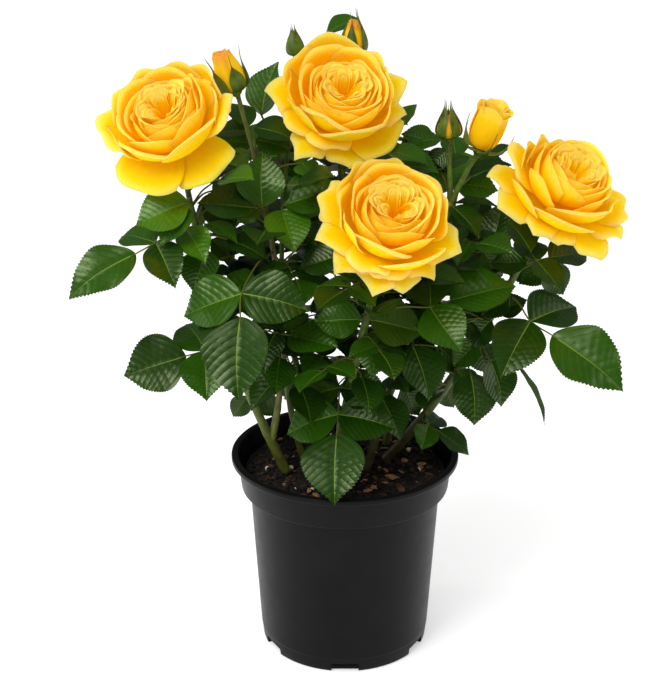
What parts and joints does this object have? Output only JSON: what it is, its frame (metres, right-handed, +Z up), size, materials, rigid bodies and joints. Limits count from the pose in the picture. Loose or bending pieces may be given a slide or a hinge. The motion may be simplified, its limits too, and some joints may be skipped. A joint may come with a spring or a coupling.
{
  "type": "potted rose bush",
  "caption": "Small bushy rose with full yellow blooms, opening and closed buds and serrated dark green compound leaves on green canes, in a round black tapered nursery pot.",
  "frame": {"origin": "centre of the pot's flat underside", "axes": "+Z up, +X to the plant's right as the picture shows it, -Y towards the viewer"},
  "size_m": [0.2923, 0.1888, 0.3583],
  "materials": {
    "pot": "semi-matte black moulded plastic",
    "soil": "matte, dark, crumbly",
    "cane": "satin green bark",
    "leaf": "glossy dark green leaf",
    "petal": "velvety yellow petal",
    "bud": "satin petal with green sepals"
  },
  "bodies": {
    "root": {"pot": "pot", "potting_soil": "soil", "cane_left": "cane", "cane_slim": "cane", "cane_centre": "cane", "cane_dark": "cane", "cane_rear_right": "cane", "cane_right": "cane", "cane_back_left": "cane", "cane_back": "cane", "cane_back_right": "cane", "bough_left_inner": "cane", "foliage_left": "leaf", "foliage_slim": "leaf", "foliage_centre": "leaf", "foliage_dark": "leaf", "foliage_rear_right": "leaf", "foliage_right": "leaf", "foliage_back_left": "leaf", "foliage_back": "leaf", "foliage_back_right": "leaf", "foliage_left_inner": "leaf", "foliage_low_right": "leaf", "bloom_left": "petal", "bloom_top": "petal", "bloom_centre": "petal", "bloom_right": "petal", "bud_upper_left": "bud", "bud_top_left": "bud", "bud_top_back": "bud", "bud_right_closed": "bud", "bud_right_opening": "bud"}
  },
  "joints": []
}
